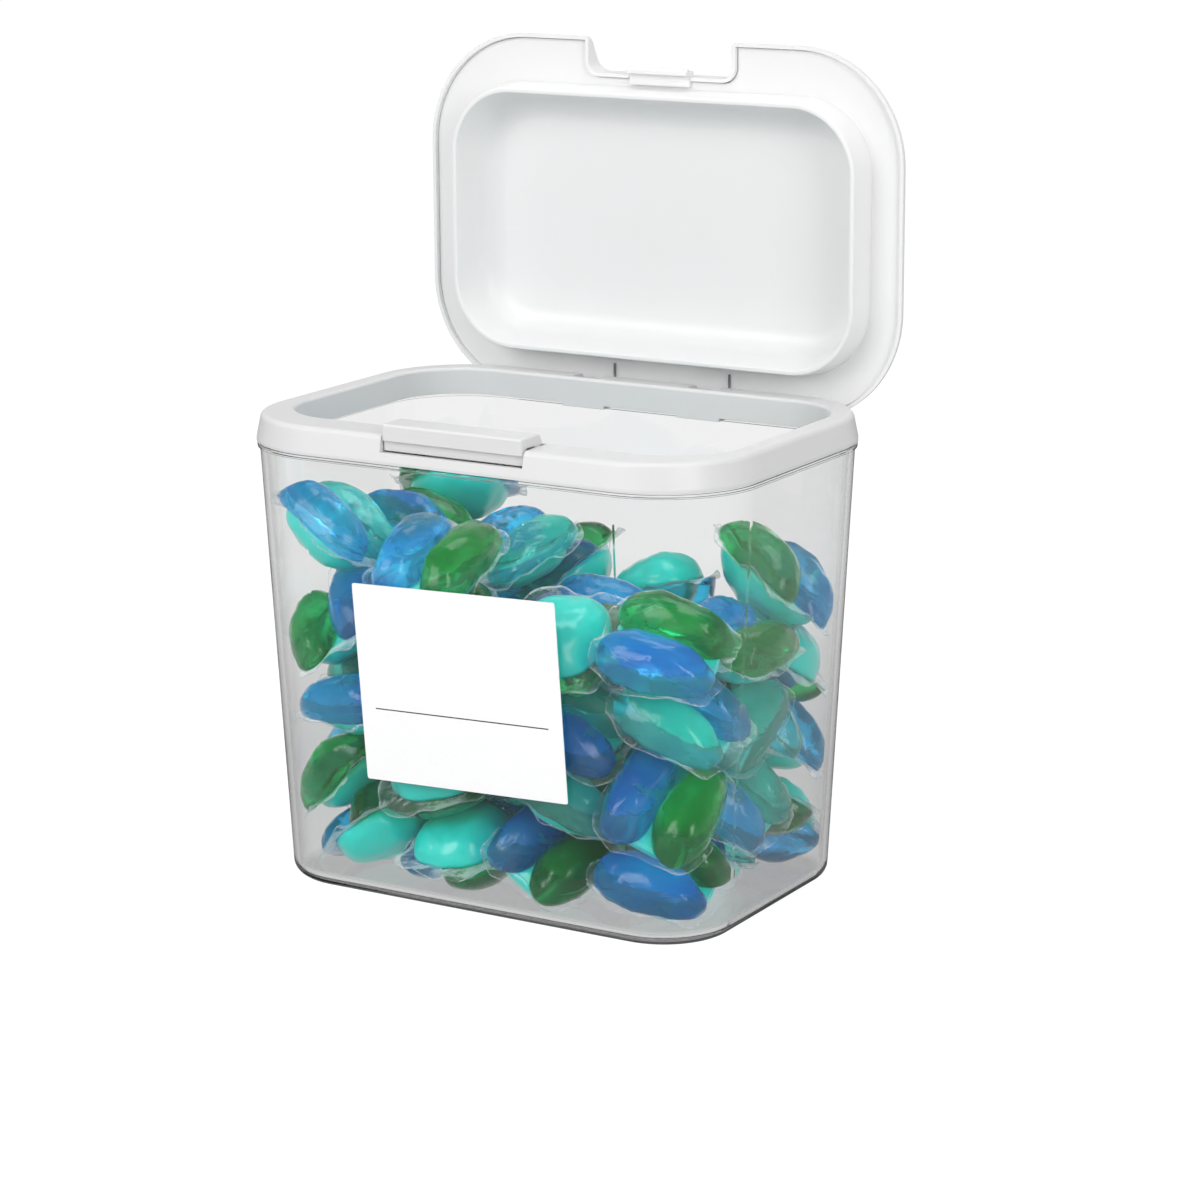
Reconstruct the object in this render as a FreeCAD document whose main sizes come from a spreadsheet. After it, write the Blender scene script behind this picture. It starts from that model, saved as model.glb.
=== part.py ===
import FreeCAD, Part
import math
import os
import Sketcher
from random import Random

# Clear storage tub for laundry pods with a white collar, a sprung flip lid,
# a rocking latch and a heap of pods. Millimetres, +Z up, +X right, -Y front.
# The origin is the centre of the face that the tub stands on.

doc = FreeCAD.newDocument("PodTub")
sheet = doc.addObject("Spreadsheet::Sheet", "Sheet")


class Size:
    """A length that carries its number and the sheet expression that gives it."""

    def __init__(self, value, text):
        self.value = value
        self.text = text

    def __add__(self, other):
        other = asSize(other)
        return Size(self.value + other.value, f"({self.text} + {other.text})")

    def __radd__(self, other):
        return asSize(other) + self

    def __sub__(self, other):
        other = asSize(other)
        return Size(self.value - other.value, f"({self.text} - {other.text})")

    def __rsub__(self, other):
        return asSize(other) - self

    def __mul__(self, factor):
        return Size(self.value * factor, f"({self.text} * {factor})")

    __rmul__ = __mul__

    def __truediv__(self, factor):
        return Size(self.value / factor, f"({self.text} / {factor})")

    def __neg__(self):
        return Size(-self.value, f"(-{self.text})")


def asSize(value):
    if isinstance(value, Size):
        return value
    return Size(float(value), f"{float(value)}")


def cell(alias, value, note):
    """Put one driving dimension on the sheet and return it as a Size."""
    row = cell.row
    sheet.set(f"A{row}", alias)
    sheet.set(f"B{row}", str(value))
    sheet.set(f"C{row}", note)
    sheet.setAlias(f"B{row}", alias)
    cell.row = row + 1
    return Size(float(value), f"Sheet.{alias}")


cell.row = 1

# Tub
footWidth = cell("footWidth", 175, "tub width at the floor")
footDepth = cell("footDepth", 117, "tub depth at the floor")
footRadius = cell("footRadius", 26, "corner radius at the floor")
flare = cell("flare", 8.4, "each wall leans out this far up to the shoulder")
shoulderHeight = cell("shoulderHeight", 158.3, "height the collar sits on")
wall = cell("wall", 2.0, "wall of the clear tub")
floorWall = cell("floorWall", 2.8, "floor of the clear tub")
footRound = cell("footRound", 5.0, "rounding of the foot edge")
beadOut = cell("beadOut", 0.8, "how far the bead under the collar stands out")
beadHeight = cell("beadHeight", 1.4, "height of the bead")
land = cell("land", 1.0, "upright land at the end of a leaning wall")
neckStep = cell("neckStep", 2.3, "the neck is set in this far from the shoulder")
neckTop = cell("neckTop", 164.6, "top of the neck")
neckWall = cell("neckWall", 1.6, "wall of the neck")

# Collar
collarTop = cell("collarTop", 168, "top face of the collar")
collarTopWidth = cell("collarTopWidth", 190.4, "collar width at the top")
collarTopDepth = cell("collarTopDepth", 134, "collar depth at the top")
collarTopRadius = cell("collarTopRadius", 35, "collar corner radius at the top")
collarFlare = cell("collarFlare", 1.8, "the collar leans out this far to its skirt's edge")
collarRound = cell("collarRound", 2.0, "rounding of the collar's outer top edge")
mouthWidth = cell("mouthWidth", 175, "width of the mouth")
mouthDepth = cell("mouthDepth", 109, "depth of the mouth")
mouthRadius = cell("mouthRadius", 26, "corner radius of the mouth")
mouthShift = cell("mouthShift", 3, "the mouth sits this far behind the middle")
mouthRound = cell("mouthRound", 1.2, "rounding of the mouth's top edge")
topPlate = cell("topPlate", 2.2, "thickness of the collar's top plate")
innerWall = cell("innerWall", 1.5, "thickness of the mouth's wall")
fitGap = cell("fitGap", 0.3, "gap between the neck and the collar")

# Latch
latchWidth = cell("latchWidth", 55.6, "width of the latch button")
latchSideGap = cell("latchSideGap", 0.5, "gap at each end of the button")
latchFront = cell("latchFront", -67.8, "front face of the button")
latchTop = cell("latchTop", 172, "top of the button")
latchUnder = cell("latchUnder", 166.3, "underside of the button's front")
latchBack = cell("latchBack", -56.0, "rear face of the button")
plateFront = cell("plateFront", -66.0, "recessed plate under the button")
plateWall = cell("plateWall", 1.4, "thickness of the recessed plate")
latchCeiling = cell("latchCeiling", 168.4, "hollow under the button reaches up to here")
ledgeTop = cell("ledgeTop", 162.2, "sill of the finger recess")
wellFloor = cell("wellFloor", 159.3, "floor of the latch's well")
latchPivotY = cell("latchPivotY", -57.7, "latch axis, front to back")
latchPivotZ = cell("latchPivotZ", 162.0, "latch axis, height")
latchPinRadius = cell("latchPinRadius", 1.0, "radius of the latch pin")
pinPlay = cell("pinPlay", 0.05, "running clearance of a pin, radial")
hookReach = cell("hookReach", 1.1, "how far the button's hook stands out")
hookUnder = cell("hookUnder", 168.3, "underside of the button's hook")

# Lid, as closed
lidWidth = cell("lidWidth", 195, "lid width")
lidDepth = cell("lidDepth", 132.6, "lid depth")
lidRadius = cell("lidRadius", 41, "lid corner radius")
lidShift = cell("lidShift", 0.7, "the lid's middle sits this far behind the tub's")
lidGap = cell("lidGap", 0.4, "gap between the closed lid's lip and the collar")
lidEdge = cell("lidEdge", 3.0, "height of the lid's upright edge")
lidRise = cell("lidRise", 8.4, "height of the lid's crown above its edge")
crownInset = cell("crownInset", 16, "width of the crown's slope")
lidWall = cell("lidWall", 1.4, "wall of the lid's cover")
lipDepth = cell("lipDepth", 1.6, "the lip stands this far proud of the flange")
flangeWall = cell("flangeWall", 1.4, "thickness of the lid's liner")
seam = cell("seam", 0.3, "gap between cover and liner")
notchWidth = cell("notchWidth", 59, "width of the notch for the button")
notchBack = cell("notchBack", -52.7, "back edge of the notch")
notchRadius = cell("notchRadius", 4, "inner corner radius of the notch")
plugWidth = cell("plugWidth", 166, "plug ring width at its rim")
plugDepth = cell("plugDepth", 96, "plug ring depth at its rim")
plugRadius = cell("plugRadius", 25, "plug ring corner radius")
plugShift = cell("plugShift", 1.4, "the plug ring sits this far behind the middle")
plugHeight = cell("plugHeight", 11, "the rim stands this far from the flange")
plugDraft = cell("plugDraft", 1.5, "draft of the plug ring over its height")
rimWall = cell("rimWall", 1.7, "width of the plug ring's rim")
panDepth = cell("panDepth", 17.2, "depth of the pan behind the rim")
panRound = cell("panRound", 9, "rounding of the pan's floor")
catchWidth = cell("catchWidth", 24.8, "width of the catch tab")
catchFront = cell("catchFront", -54.6, "front face of the catch tab")
catchWall = cell("catchWall", 1.3, "thickness of the catch tab")
catchEnd = cell("catchEnd", 166.0, "lower end of the catch tab")
catchNose = cell("catchNose", 1.0, "reach of the catch tab's nose")

# Hinges
hingeY = cell("hingeY", 64.2, "hinge axis, front to back")
hingeZ = cell("hingeZ", 160.6, "hinge axis, height")
hingeSpread = cell("hingeSpread", 24, "each hinge's distance from the middle")
slotWidth = cell("slotWidth", 11, "width of each hinge slot")
slotFront = cell("slotFront", 59.3, "front wall of each hinge slot")
sillTop = cell("sillTop", 159.6, "sill that the open lid's arms rest on")
hingePinRadius = cell("hingePinRadius", 0.9, "radius of a hinge pin")
hingePinLength = cell("hingePinLength", 16, "length of a hinge pin")
knuckleRadius = cell("knuckleRadius", 2.1, "radius of a lid arm's knuckle")
armWidth = cell("armWidth", 3.0, "width of a lid arm")
armFront = cell("armFront", 60.9, "front face of a lid arm")
armBack = cell("armBack", 64.8, "back face of a lid arm")
openAngle = 90.0

# Springs
hingeWire = cell("hingeWire", 0.8, "wire of a hinge spring")
hingeCoil = cell("hingeCoil", 1.7, "mean radius of a hinge spring's coil")
latchWire = cell("latchWire", 0.5, "wire of a latch spring")
latchCoil = cell("latchCoil", 1.5, "mean radius of a latch spring")
latchSpringX = cell("latchSpringX", 16, "each latch spring's distance from the middle")
latchSpringY = cell("latchSpringY", -62.25, "latch springs, front to back")

# Label and pods
labelWidth = cell("labelWidth", 81.5, "width of the label")
labelHeight = cell("labelHeight", 70.5, "height of the label")
labelMiddleX = cell("labelMiddleX", -1.2, "middle of the label, across")
labelMiddleZ = cell("labelMiddleZ", 80.8, "middle of the label, height")
labelSheet = cell("labelSheet", 0.25, "thickness of the label")
labelTilt = 2.0
podLength = cell("podLength", 45.5, "length of a pod's film")
podWidth = cell("podWidth", 40.8, "width of a pod's film")
podCorner = cell("podCorner", 9, "corner radius of a pod's film")
podFilm = cell("podFilm", 0.8, "thickness of the film's sealed edge")
lobeLength = cell("lobeLength", 42, "length of a pod's two upper chambers")
lobeWidth = cell("lobeWidth", 21, "width of a pod's upper chamber")
lobeHeight = cell("lobeHeight", 13, "height of a pod's upper chambers")
lobeOffset = cell("lobeOffset", 9.4, "middle of an upper chamber from the pod's middle")
domeLength = cell("domeLength", 38, "length of a pod's lower chamber")
domeWidth = cell("domeWidth", 34, "width of a pod's lower chamber")
domeHeight = cell("domeHeight", 12, "depth of a pod's lower chamber")

doc.recompute()

shoulderWidth = footWidth + 2 * flare
shoulderDepth = footDepth + 2 * flare
shoulderRadius = footRadius + flare
neckWidth = shoulderWidth - 2 * neckStep
neckDepth = shoulderDepth - 2 * neckStep
neckRadius = shoulderRadius - neckStep
skirtWidth = collarTopWidth + 2 * collarFlare
skirtDepth = collarTopDepth + 2 * collarFlare
skirtRadius = collarTopRadius + collarFlare
lipPlane = collarTop + lidGap
flangeUnder = lipPlane + lipDepth
flangeTop = flangeUnder + flangeWall
lidTop = lipPlane + lidEdge + lidRise
rimPlane = flangeUnder - plugHeight
panFloor = rimPlane + panDepth


def bind(thing, path, size):
    thing.setExpression(path, asSize(size).text)


def newBody(name):
    body = doc.addObject("PartDesign::Body", name)
    body.Label = name
    return body


def plane(body, role):
    for item in body.Origin.OriginFeatures:
        if item.Role == role:
            return item


def newSketch(body, name, role, offset):
    """A sketch on one of the body's own planes, moved off it by offset."""
    sketch = body.newObject("Sketcher::SketchObject", name)
    sketch.AttachmentSupport = [(plane(body, role), "")]
    sketch.MapMode = "FlatFace"
    bind(sketch, "AttachmentOffset.Base.z", offset)
    return sketch


def fixPoint(sketch, geometry, position, x, y):
    """Hold one point of a sketch at x, y, both bound to the sheet."""
    for kind, size in (("DistanceX", asSize(x)), ("DistanceY", asSize(y))):
        constraint = Sketcher.Constraint(kind, -1, 1, geometry, position, size.value)
        index = sketch.addConstraint(constraint)
        sketch.setExpression(f"Constraints[{index}]", size.text)


def addRoundedRectangle(sketch, width, depth, radius, shift):
    """Four lines and four tangent arcs about (0, shift)."""
    radius = asSize(radius)
    cornerX = asSize(width) / 2 - radius
    cornerY = asSize(depth) / 2 - radius
    shift = asSize(shift)
    turns = ((1, 1), (-1, 1), (-1, -1), (1, -1))
    arcs = []
    lines = []
    for index, (sideX, sideY) in enumerate(turns):
        middle = FreeCAD.Vector(sideX * cornerX.value, sideY * cornerY.value + shift.value, 0)
        circle = Part.Circle(middle, FreeCAD.Vector(0, 0, 1), radius.value)
        start = index * math.pi / 2
        arc = Part.ArcOfCircle(circle, start, start + math.pi / 2)
        arcs.append(sketch.addGeometry(arc, False))
    for index in range(4):
        begin = sketch.getPoint(arcs[index], 2)
        end = sketch.getPoint(arcs[(index + 1) % 4], 1)
        lines.append(sketch.addGeometry(Part.LineSegment(begin, end), False))
    for index in range(4):
        following = arcs[(index + 1) % 4]
        sketch.addConstraint(Sketcher.Constraint("Tangent", arcs[index], 2, lines[index], 1))
        sketch.addConstraint(Sketcher.Constraint("Tangent", lines[index], 2, following, 1))
    for index, (sideX, sideY) in enumerate(turns):
        fixPoint(sketch, arcs[index], 3, sideX * cornerX, sideY * cornerY + shift)
        constraint = Sketcher.Constraint("Radius", arcs[index], radius.value)
        number = sketch.addConstraint(constraint)
        sketch.setExpression(f"Constraints[{number}]", radius.text)


def outline(body, name, width, depth, radius, height, shift=0):
    """A level rounded-rectangle sketch."""
    sketch = newSketch(body, name, "XY_Plane", height)
    addRoundedRectangle(sketch, width, depth, radius, shift)
    return sketch


def addPolygon(sketch, points):
    """A closed outline of straight lines whose corners are bound to the sheet."""
    corners = [(asSize(x), asSize(y)) for x, y in points]
    count = len(corners)
    lines = []
    for index in range(count):
        here = corners[index]
        there = corners[(index + 1) % count]
        begin = FreeCAD.Vector(here[0].value, here[1].value, 0)
        end = FreeCAD.Vector(there[0].value, there[1].value, 0)
        lines.append(sketch.addGeometry(Part.LineSegment(begin, end), False))
    for index in range(count):
        following = lines[(index + 1) % count]
        sketch.addConstraint(Sketcher.Constraint("Coincident", lines[index], 2, following, 1))
    for index in range(count):
        fixPoint(sketch, lines[index], 1, *corners[index])


def addCircle(sketch, x, y, radius):
    x, y, radius = asSize(x), asSize(y), asSize(radius)
    middle = FreeCAD.Vector(x.value, y.value, 0)
    circle = Part.Circle(middle, FreeCAD.Vector(0, 0, 1), radius.value)
    ring = sketch.addGeometry(circle, False)
    fixPoint(sketch, ring, 3, x, y)
    number = sketch.addConstraint(Sketcher.Constraint("Radius", ring, radius.value))
    sketch.setExpression(f"Constraints[{number}]", radius.text)


def pad(body, sketch, length, name, middle=False):
    feature = body.newObject("PartDesign::Pad", name)
    feature.Profile = sketch
    bind(feature, "Length", length)
    if middle:
        feature.Midplane = True
    return feature


def pocket(body, sketch, length, name, middle=False):
    """Cut towards the sketch's normal."""
    feature = body.newObject("PartDesign::Pocket", name)
    feature.Profile = sketch
    bind(feature, "Length", length)
    if middle:
        feature.Midplane = True
    else:
        feature.Reversed = True
    return feature


def loft(body, sketches, name, cut=False):
    kind = "PartDesign::SubtractiveLoft" if cut else "PartDesign::AdditiveLoft"
    feature = body.newObject(kind, name)
    feature.Profile = sketches[0]
    feature.Sections = sketches[1:]
    feature.Ruled = True
    return feature


def block(body, name, low, high, cut=False):
    """A box between two corners, added to or cut from a body."""
    kind = "PartDesign::SubtractiveBox" if cut else "PartDesign::AdditiveBox"
    feature = body.newObject(kind, name)
    feature.AttachmentSupport = [(plane(body, "XY_Plane"), "")]
    feature.MapMode = "FlatFace"
    for side, axis, start, end in zip(("Length", "Width", "Height"), "xyz", low, high):
        bind(feature, side, asSize(end) - asSize(start))
        bind(feature, f"AttachmentOffset.Base.{axis}", start)
    return feature


def rod(body, name, middleX, length, y, z, radius, cut=False):
    """A cylinder along X, added to or cut from a body."""
    sketch = newSketch(body, name + "Sketch", "YZ_Plane", middleX)
    addCircle(sketch, y, z, radius)
    if cut:
        return pocket(body, sketch, length, name, middle=True)
    return pad(body, sketch, length, name, middle=True)


def edgesWhere(shape, test):
    """Names of the edges whose every corner and middle pass a test."""
    names = []
    for index, edge in enumerate(shape.Edges):
        middle = edge.valueAt((edge.FirstParameter + edge.LastParameter) / 2)
        places = [vertex.Point for vertex in edge.Vertexes] + [middle]
        if all(test(place) for place in places):
            names.append(f"Edge{index + 1}")
    return names


def fillet(body, base, test, radius, name):
    """Round the edges of a body's last feature that pass a test."""
    doc.recompute()
    names = edgesWhere(base.Shape, test)
    feature = body.newObject("PartDesign::Fillet", name)
    feature.Base = (base, names)
    bind(feature, "Radius", radius)
    return feature


def atHeight(height, slack=0.05):
    return lambda place: abs(place.z - asSize(height).value) < slack


# Tub body: a tapered clear moulding with a bead, a shoulder and a neck
tub = newBody("tub_body")
landBottom = shoulderHeight - land
shoulder = outline(tub, "Shoulder", shoulderWidth, shoulderDepth, shoulderRadius, landBottom)
pad(tub, shoulder, land, "ShoulderLand")
foot = outline(tub, "Foot", footWidth, footDepth, footRadius, 0)
tubOutside = loft(tub, [foot, shoulder], "TubOutside")
fillet(tub, tubOutside, atHeight(0), footRound, "FootRound")
beadWidth = shoulderWidth + 2 * beadOut
beadDepth = shoulderDepth + 2 * beadOut
beadZ = shoulderHeight - beadHeight - 0.6
beadOutline = outline(tub, "BeadOutline", beadWidth, beadDepth, shoulderRadius + beadOut, beadZ)
pad(tub, beadOutline, beadHeight, "Bead")
neckOutline = outline(tub, "NeckOutline", neckWidth, neckDepth, neckRadius, shoulderHeight)
pad(tub, neckOutline, neckTop - shoulderHeight, "Neck")
hollowFoot = outline(tub, "HollowFoot", footWidth - 2 * wall, footDepth - 2 * wall,
                     footRadius - wall, floorWall)
hollowTop = outline(tub, "HollowTop", shoulderWidth - 2 * wall, shoulderDepth - 2 * wall,
                    shoulderRadius - wall, shoulderHeight - wall)
tubHollow = loft(tub, [hollowFoot, hollowTop], "Hollow", cut=True)
fillet(tub, tubHollow, atHeight(floorWall), footRound - wall, "InsideFootRound")
neckInside = outline(tub, "NeckInside", neckWidth - 2 * neckWall, neckDepth - 2 * neckWall,
                     neckRadius - neckWall, shoulderHeight - wall - 1)
pocket(tub, neckInside, neckTop - shoulderHeight + wall + 2, "NeckHollow")
latchCutWidth = latchWidth + 2 * latchSideGap + 6.4
block(tub, "NeckCutForLatch", (-latchCutWidth / 2, -neckDepth / 2 - 1, shoulderHeight),
      (latchCutWidth / 2, -neckDepth / 2 + 3, neckTop + 1), cut=True)
hingeCutWidth = hingePinLength + 2.4
for side, sign in (("Left", -1), ("Right", 1)):
    middleX = sign * hingeSpread
    block(tub, f"NeckCutForHinge{side}",
          (middleX - hingeCutWidth / 2, neckDepth / 2 - 3, shoulderHeight),
          (middleX + hingeCutWidth / 2, neckDepth / 2 + 1, neckTop + 1), cut=True)
doc.recompute()

# Collar: a white channel moulding over the neck, with a well for the latch
# at the front and two hinge slots at the back
collar = newBody("collar")
skirtFoot = outline(collar, "SkirtFoot", skirtWidth, skirtDepth, skirtRadius, shoulderHeight)
pad(collar, skirtFoot, land, "SkirtLand")
skirt = outline(collar, "Skirt", skirtWidth, skirtDepth, skirtRadius, shoulderHeight + land)
collarRim = outline(collar, "CollarRim", collarTopWidth, collarTopDepth, collarTopRadius,
                    collarTop)
collarOutside = loft(collar, [skirt, collarRim], "CollarOutside")
fillet(collar, collarOutside, atHeight(collarTop), collarRound, "CollarRound")
mouth = outline(collar, "Mouth", mouthWidth, mouthDepth, mouthRadius, shoulderHeight - 1,
                mouthShift)
mouthCut = pocket(collar, mouth, collarTop - shoulderHeight + 2, "MouthCut")


def isMouthEdge(place):
    insideX = abs(place.x) < mouthWidth.value / 2 + 0.1
    insideY = abs(place.y - mouthShift.value) < mouthDepth.value / 2 + 0.1
    return insideX and insideY and atHeight(collarTop)(place)


fillet(collar, mouthCut, isMouthEdge, mouthRound, "MouthRound")
channel = newSketch(collar, "Channel", "XY_Plane", shoulderHeight - 1)
addRoundedRectangle(channel, neckWidth + 2 * fitGap, neckDepth + 2 * fitGap,
                    neckRadius + fitGap, 0)
addRoundedRectangle(channel, mouthWidth + 2 * innerWall, mouthDepth + 2 * innerWall,
                    mouthRadius + innerWall, mouthShift)
pocket(collar, channel, collarTop - topPlate - shoulderHeight + 1, "ChannelCut")
mouthFront = mouthShift - mouthDepth / 2
mouthBack = mouthShift + mouthDepth / 2
wellBack = mouthFront - innerWall
wellFront = plateFront - 0.3
wellWidth = latchWidth + 2 * latchSideGap
fillWidth = wellWidth + 5.4
block(collar, "LatchFill", (-fillWidth / 2, wellFront, shoulderHeight),
      (fillWidth / 2, wellBack + 0.5, collarTop - topPlate / 2))
block(collar, "LatchWell", (-wellWidth / 2, wellFront, wellFloor),
      (wellWidth / 2, wellBack, collarTop + 1), cut=True)
block(collar, "FingerRecess", (-wellWidth / 2, -skirtDepth / 2 - 1, ledgeTop),
      (wellWidth / 2, wellFront + 0.5, collarTop + 1), cut=True)
webFront = latchPivotY - 1.7
block(collar, "LatchStop", (-wellWidth / 2, webFront - 1.1, wellFloor - 0.1),
      (wellWidth / 2, webFront - 0.1, wellFloor + 1.3))
rod(collar, "LatchPinBore", 0, fillWidth + 2, latchPivotY, latchPivotZ, latchPinRadius + 0.01,
    cut=True)
hingeFillWidth = hingePinLength + 1.4
slotFloor = shoulderHeight - 0.1
for side, sign in (("Left", -1), ("Right", 1)):
    middleX = sign * hingeSpread
    block(collar, f"HingeFill{side}",
          (middleX - hingeFillWidth / 2, mouthBack + 0.5, shoulderHeight),
          (middleX + hingeFillWidth / 2, neckDepth / 2 + 1, collarTop - topPlate / 2))
    block(collar, f"HingeFloor{side}",
          (middleX - hingeFillWidth / 2, mouthBack, shoulderHeight - 1.2),
          (middleX + hingeFillWidth / 2, neckDepth / 2 - neckWall - 0.3, shoulderHeight + 0.1))
    block(collar, f"HingeSlot{side}", (middleX - slotWidth / 2, slotFront, slotFloor),
          (middleX + slotWidth / 2, neckDepth / 2 + fitGap + 2, collarTop + 1), cut=True)
    block(collar, f"ArmSill{side}", (middleX - slotWidth / 2, neckDepth / 2 + 1, sillTop),
          (middleX + slotWidth / 2, skirtDepth / 2 + 1, collarTop + 1), cut=True)
    rod(collar, f"HingePinBore{side}", middleX, hingeFillWidth + 1, hingeY, hingeZ,
        hingePinRadius + 0.01, cut=True)
doc.recompute()

# Latch button: a rocking block whose front is pressed down into the recess
button = newBody("latch_button")
profile = newSketch(button, "ButtonProfile", "YZ_Plane", 0)
plateBack = plateFront + plateWall
webBottom = wellFloor + 0.5
plateEnd = ledgeTop + 0.4
addPolygon(profile, [
    (latchFront, latchUnder), (latchFront, latchTop), (latchBack, latchTop),
    (latchBack, hookUnder + 2.5), (latchBack + hookReach, hookUnder + 1.3),
    (latchBack + hookReach, hookUnder), (latchBack, hookUnder),
    (latchBack, webBottom), (webFront, webBottom),
    (webFront, latchCeiling), (plateBack, latchCeiling), (plateBack, plateEnd),
    (plateFront, plateEnd), (plateFront, latchUnder)])
pad(button, profile, latchWidth, "ButtonBlock", middle=True)
buttonBore = rod(button, "ButtonBore", 0, latchWidth + 2, latchPivotY, latchPivotZ,
                 latchPinRadius + pinPlay, cut=True)


def isFrontCorner(place):
    atEnd = abs(abs(place.x) - latchWidth.value / 2) < 0.05
    return atEnd and place.y < latchFront.value + 0.05


buttonCorners = fillet(button, buttonBore, isFrontCorner, 1.2, "ButtonCorners")
fillet(button, buttonCorners, atHeight(latchTop), 0.9, "ButtonRound")
doc.recompute()

latchPin = newBody("latch_pin")
rod(latchPin, "LatchPin", 0, fillWidth - 0.4, latchPivotY, latchPivotZ, latchPinRadius)
doc.recompute()

# Lid cover, modelled closed: a crowned shell with a lip and a notch
lidBack = lidShift + lidDepth / 2
edgeTop = lipPlane + lidEdge


def crownedShape(name, inset, bottom):
    """The lid's crowned block, shrunk all round by inset."""
    body = newBody(name)
    width = lidWidth - 2 * inset
    depth = lidDepth - 2 * inset
    radius = lidRadius - inset
    low = outline(body, name + "Low", width, depth, radius, bottom, lidShift)
    edge = outline(body, name + "Edge", width, depth, radius, edgeTop - inset * 0.3, lidShift)
    crown = outline(body, name + "Crown", width - 2 * crownInset, depth - 2 * crownInset,
                    radius - crownInset, lidTop - inset, lidShift)
    loft(body, [low, edge], name + "Upright")
    slope = loft(body, [edge, crown], name + "Slope")
    top = fillet(body, slope, atHeight(lidTop - inset), 20 - inset, name + "TopRound")
    fillet(body, top, atHeight(edgeTop - inset * 0.3), 4 - inset, name + "EdgeRound")
    return body


def notchShape(name, grow, bottom):
    """The upright prism of the notch, grown all round."""
    body = newBody(name)
    reach = 40
    sketch = outline(body, name + "Outline", notchWidth + 2 * grow, reach, notchRadius + grow,
                     bottom, notchBack + grow - reach / 2)
    pad(body, sketch, 30, name + "Prism")
    return body


coverOutside = crownedShape("CoverOutside", asSize(0), lipPlane)
coverInside = crownedShape("CoverInside", lidWall, lipPlane - 1)
notch = notchShape("Notch", asSize(0), lipPlane - 2)
notchFrame = notchShape("NotchFrame", lidWall, lipPlane - 3)
doc.recompute()


def boolean(kind, name, base, tool):
    result = doc.addObject(kind, name)
    result.Base = base
    result.Tool = tool
    result.Label = name
    doc.recompute()
    return result


coverSpace = boolean("Part::Cut", "CoverSpace", coverInside, notchFrame)
coverShell = boolean("Part::Cut", "CoverShell", coverOutside, coverSpace)
coverNotched = boolean("Part::Cut", "CoverNotched", coverShell, notch)
catchGap = doc.addObject("Part::Box", "CatchGap")
bind(catchGap, "Length", catchWidth + 0.4)
bind(catchGap, "Width", lidWall + 2)
bind(catchGap, "Height", lipDepth + flangeWall + 0.2)
bind(catchGap, "Placement.Base.x", -catchWidth / 2 - 0.2)
bind(catchGap, "Placement.Base.y", notchBack - 1)
bind(catchGap, "Placement.Base.z", lipPlane - 0.1)
coverCut = boolean("Part::Cut", "CoverCut", coverNotched, catchGap)


def isTip(place):
    atSide = abs(abs(place.x) - notchWidth.value / 2) < 0.05
    return atSide and place.y < notchBack.value - notchRadius.value - 1


tips = [int(name[4:]) for name in edgesWhere(coverCut.Shape, isTip)
        if abs(coverCut.Shape.Edges[int(name[4:]) - 1].tangentAt(
            coverCut.Shape.Edges[int(name[4:]) - 1].FirstParameter).z) > 0.7]
lidCover = doc.addObject("Part::Fillet", "lid_cover")
lidCover.Base = coverCut
lidCover.Edges = [(number, 1.3, 1.3) for number in tips]
lidCover.Label = "lid_cover"
doc.recompute()

# Lid liner, modelled closed: a flange with a plug ring round a deep pan,
# two hinge arms and the catch tab
liner = newBody("lid_liner")
linerInset = lidWall + seam
flangeOutline = outline(liner, "FlangeOutline", lidWidth - 2 * linerInset,
                        lidDepth - 2 * linerInset, lidRadius - linerInset, flangeUnder,
                        lidShift)
pad(liner, flangeOutline, flangeWall, "Flange")
notchClear = outline(liner, "NotchClear", notchWidth + 2 * linerInset, 40,
                     notchRadius + linerInset, flangeUnder - 1, notchBack + linerInset - 20)
notchClearance = pocket(liner, notchClear, flangeWall + 2, "NotchClearance")
fillet(liner, notchClearance, atHeight(flangeTop), flangeWall - 0.1, "FlangeRound")
ringFoot = outline(liner, "RingFoot", plugWidth + 2 * plugDraft, plugDepth + 2 * plugDraft,
                   plugRadius + plugDraft, flangeUnder, plugShift)
ringRim = outline(liner, "RingRim", plugWidth, plugDepth, plugRadius, rimPlane, plugShift)
loft(liner, [ringFoot, ringRim], "PlugRing")
panTopInset = 9
panFoot = outline(liner, "PanFoot", plugWidth + 2 * plugDraft, plugDepth + 2 * plugDraft,
                  plugRadius + plugDraft, flangeUnder, plugShift)
panTop = outline(liner, "PanTop", plugWidth - panTopInset, plugDepth - panTopInset,
                 plugRadius - panTopInset / 2, panFloor + flangeWall - 0.2, plugShift)
panOutside = loft(liner, [panFoot, panTop], "PanOutside")
fillet(liner, panOutside, atHeight(panFloor + flangeWall - 0.2), panRound, "PanCorner")
panMouth = outline(liner, "PanMouth", plugWidth - 2 * rimWall, plugDepth - 2 * rimWall,
                   plugRadius - rimWall, rimPlane, plugShift)
panBottom = outline(liner, "PanBottom", plugWidth - panTopInset - 2 * rimWall,
                    plugDepth - panTopInset - 2 * rimWall,
                    plugRadius - panTopInset / 2 - rimWall, panFloor, plugShift)
panHollow = loft(liner, [panMouth, panBottom], "PanHollow", cut=True)
panInside = fillet(liner, panHollow, atHeight(panFloor), panRound - 0.5, "PanInside")
fillet(liner, panInside, atHeight(rimPlane), 0.6, "RimRound")
catchBack = catchFront + catchWall
catchHalf = catchWidth / 2
block(liner, "CatchPlate", (-catchHalf, catchFront, flangeUnder),
      (catchHalf, notchBack + linerInset + 1, flangeTop))
block(liner, "CatchLeg", (-catchHalf, catchFront, catchEnd),
      (catchHalf, catchBack, flangeUnder + 0.5))
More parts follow.
